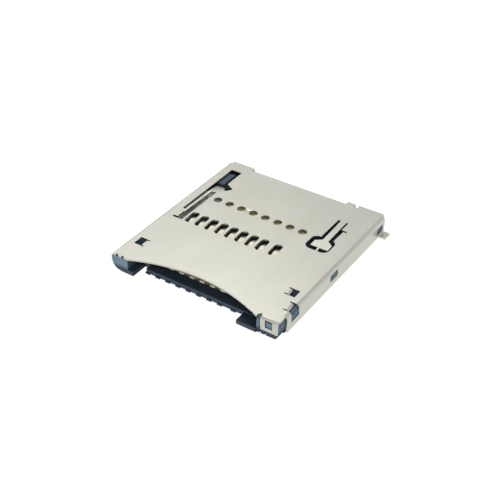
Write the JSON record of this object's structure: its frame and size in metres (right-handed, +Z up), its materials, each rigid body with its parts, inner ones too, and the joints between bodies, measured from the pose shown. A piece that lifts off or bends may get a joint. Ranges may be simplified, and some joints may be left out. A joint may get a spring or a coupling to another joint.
{
  "type": "memory card socket",
  "caption": "Low push-push socket for a small memory card: folded sheet-metal shell over a moulded base, with rows of spring contacts, a sprung slider with a cam pin, and solder feet.",
  "frame": {"origin": "middle of the footprint, on the board", "axes": "+Y is the way the card goes in, +Z is up from the board, X runs across the card"},
  "size_m": [0.0154, 0.0158, 0.0014],
  "materials": {
    "shell_metal": "satin plated sheet",
    "base_plastic": "moulded, fine grain",
    "slider_plastic": "moulded, smooth",
    "spring_wire": "drawn wire",
    "contact_gold": "gold flash"
  },
  "bodies": {
    "base": {"shell": "shell_metal", "housing": "base_plastic", "coil_spring": "spring_wire", "front_contact_1": "contact_gold", "front_contact_2": "contact_gold", "front_contact_3": "contact_gold", "front_contact_4": "contact_gold", "front_contact_5": "contact_gold", "front_contact_6": "contact_gold", "front_contact_7": "contact_gold", "front_contact_8": "contact_gold", "front_contact_9": "contact_gold", "rear_contact_1": "contact_gold", "rear_contact_2": "contact_gold", "rear_contact_3": "contact_gold", "rear_contact_4": "contact_gold", "rear_contact_5": "contact_gold", "rear_contact_6": "contact_gold", "rear_contact_7": "contact_gold", "rear_contact_8": "contact_gold", "switch_spring": "contact_gold", "switch_terminal": "contact_gold"},
    "slider": {"slider": "slider_plastic"},
    "cam_pin": {"cam_pin": "spring_wire"}
  },
  "joints": [
    {"name": "slider_slide", "type": "slide", "parent": "base", "child": "slider", "axis": [0, 1, 0], "range_m": [0, 0.0036], "stiffness_N_per_m": 120, "springref_m": -0.003, "deforming": ["coil_spring"]},
    {"name": "cam_pin_swing", "type": "hinge", "parent": "base", "child": "cam_pin", "pos_m": [-0.0061, -0.002, 0.00105], "axis": [0, 0, 1], "range_deg": [0, 5.42]}
  ],
  "couplings": [
    {"joint": "cam_pin_swing", "follows": "slider_slide", "rad_per_m": 26.25}
  ]
}
